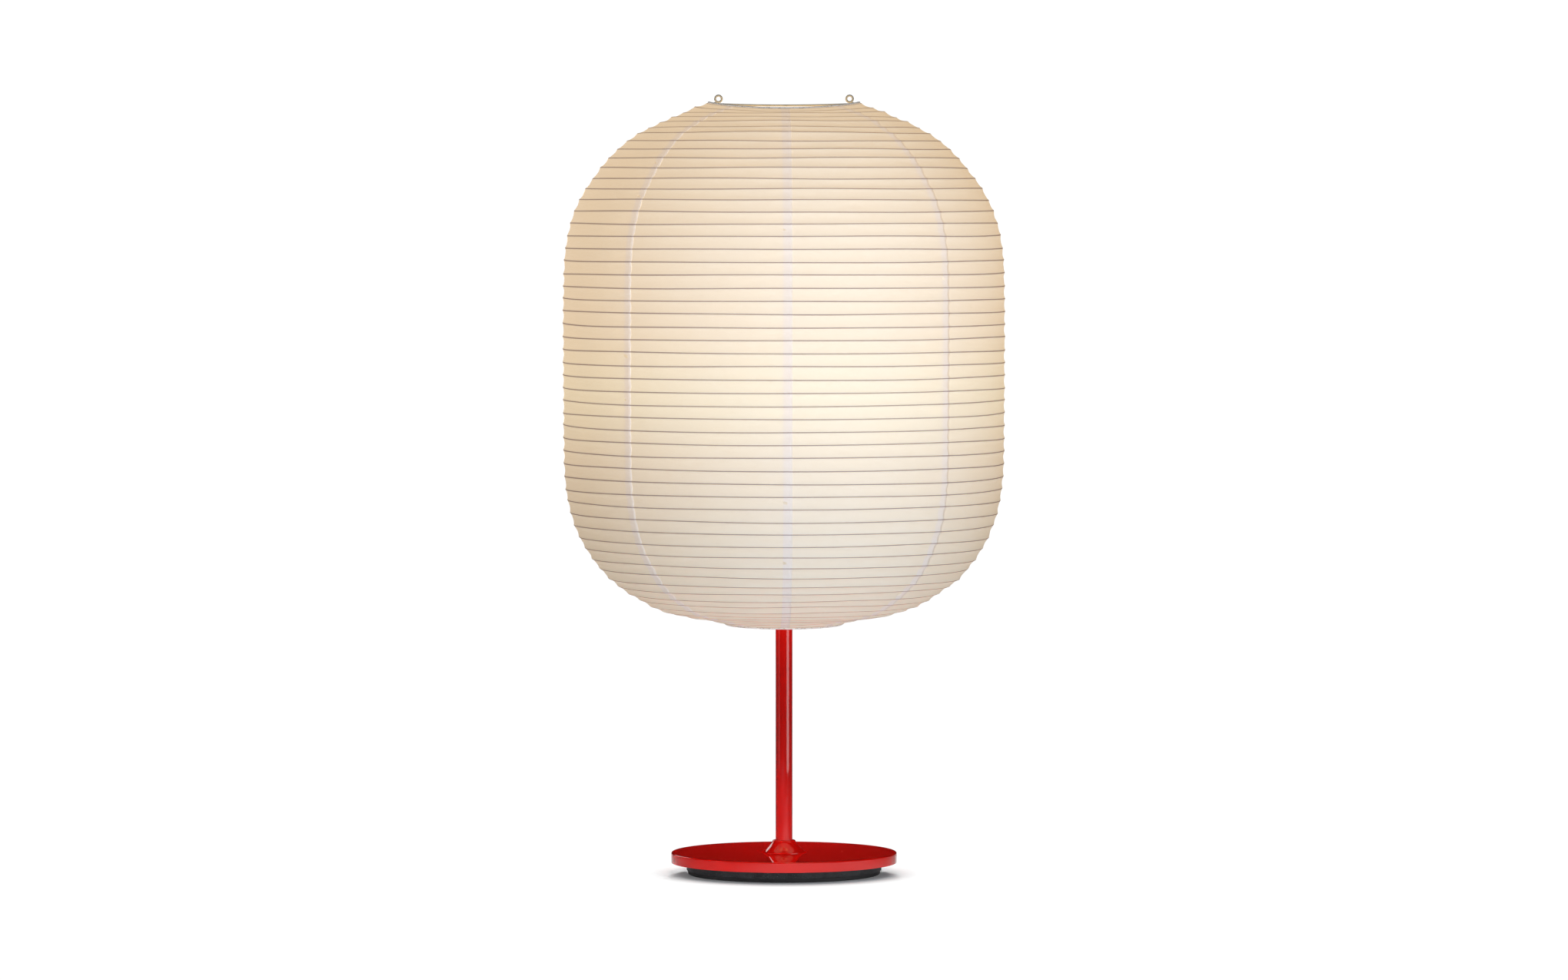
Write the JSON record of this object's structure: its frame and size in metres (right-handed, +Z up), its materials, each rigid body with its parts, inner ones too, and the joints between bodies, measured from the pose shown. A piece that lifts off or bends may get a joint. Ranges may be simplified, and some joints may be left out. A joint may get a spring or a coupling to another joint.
{
  "type": "paper lantern table lamp",
  "caption": "Table lamp: oblong rice-paper lantern shade on thin hoops and a wire stretcher, lit by a screw-in bulb, on a thin pole and a round weighted base.",
  "frame": {"origin": "centre of the foot ring, on the surface that the lamp stands on", "axes": "+Z up along the pole, -Y towards the front, +X along the stretcher's cross bar"},
  "size_m": [0.419, 0.419, 0.739],
  "materials": {
    "red_lacquer": "gloss",
    "black_iron": "matte",
    "black_rubber": "matte",
    "black_plastic": "satin",
    "zinc_steel": "satin",
    "white_wire": "satin",
    "natural_plastic": "satin",
    "brass": "satin",
    "brown_insulation": "satin",
    "blue_insulation": "satin",
    "green_insulation": "satin",
    "steatite": "satin",
    "screw_metal": "polished",
    "clear_silicone": "satin",
    "solder": "satin",
    "black_glass": "gloss",
    "white_plastic": "satin",
    "opal_globe": "satin",
    "board_metal": "satin",
    "emitter": "satin",
    "board_green": "satin",
    "rice_paper": "matte",
    "hoop_bamboo": "matte",
    "rim_paper": "matte"
  },
  "bodies": {
    "base": {"base_cover": "red_lacquer", "base_weight": "black_iron", "foot_ring": "black_rubber", "bottom_plate": "zinc_steel", "plate_screws": "zinc_steel", "cord_gland": "black_plastic", "terminal_block": "natural_plastic", "terminal_sleeves": "brass", "terminal_screws": "brass", "earth_screw": "zinc_steel", "earth_tag": "brass", "earth_lead": "green_insulation", "live_lead": "brown_insulation", "neutral_lead": "blue_insulation", "foot_washer": "zinc_steel", "foot_nut": "zinc_steel", "pole_foot_plug": "zinc_steel", "pole": "red_lacquer", "collar": "red_lacquer", "pole_head_plug": "zinc_steel", "holder_cap": "black_plastic", "holder_grub_screw": "zinc_steel", "holder_skirt": "black_plastic", "holder_core": "steatite", "core_screws": "brass", "screw_shell": "screw_metal", "centre_contact": "brass"},
    "slip_washer": {"seat_washer": "clear_silicone"},
    "shade": {"seat_ring": "white_wire", "left_side_wire": "white_wire", "right_side_wire": "white_wire", "left_spoke": "white_wire", "right_spoke": "white_wire", "cross_bar": "white_wire", "shade_hoops": "hoop_bamboo", "top_rim": "rim_paper", "bottom_rim": "rim_paper", "paper_gore_1": "rice_paper", "paper_gore_2": "rice_paper", "paper_gore_3": "rice_paper", "paper_gore_4": "rice_paper", "paper_gore_5": "rice_paper", "paper_gore_6": "rice_paper", "paper_gore_7": "rice_paper", "paper_gore_8": "rice_paper"},
    "nut": {"ring_nut": "black_plastic"},
    "bulb_tip": {"bulb_contact": "solder"},
    "bulb": {"bulb_insulator": "black_glass", "bulb_cap": "screw_metal", "bulb_housing": "white_plastic", "bulb_globe": "opal_globe", "led_board": "board_metal", "led_chips": "emitter", "driver_board": "board_green"}
  },
  "joints": [
    {"name": "shade_swivel", "type": "hinge", "parent": "base", "child": "slip_washer", "pos_m": [0, 0, 0.372], "axis": [0, 0, 1], "continuous": true},
    {"name": "shade_lift", "type": "slide", "parent": "slip_washer", "child": "shade", "axis": [0, 0, 1], "range_m": [0, 0.3]},
    {"name": "nut_travel", "type": "slide", "parent": "shade", "child": "nut", "axis": [0, 0, 1], "range_m": [0, 0.012]},
    {"name": "bulb_travel", "type": "slide", "parent": "base", "child": "bulb_tip", "axis": [0, 0, 1], "range_m": [0, 0.0127]},
    {"name": "bulb_turn", "type": "hinge", "parent": "bulb_tip", "child": "bulb", "pos_m": [0, 0, 0.376], "axis": [0, 0, 1], "range_deg": [0, 1260]}
  ],
  "couplings": [
    {"joint": "bulb_turn", "follows": "bulb_travel", "rad_per_m": 1731.4}
  ]
}
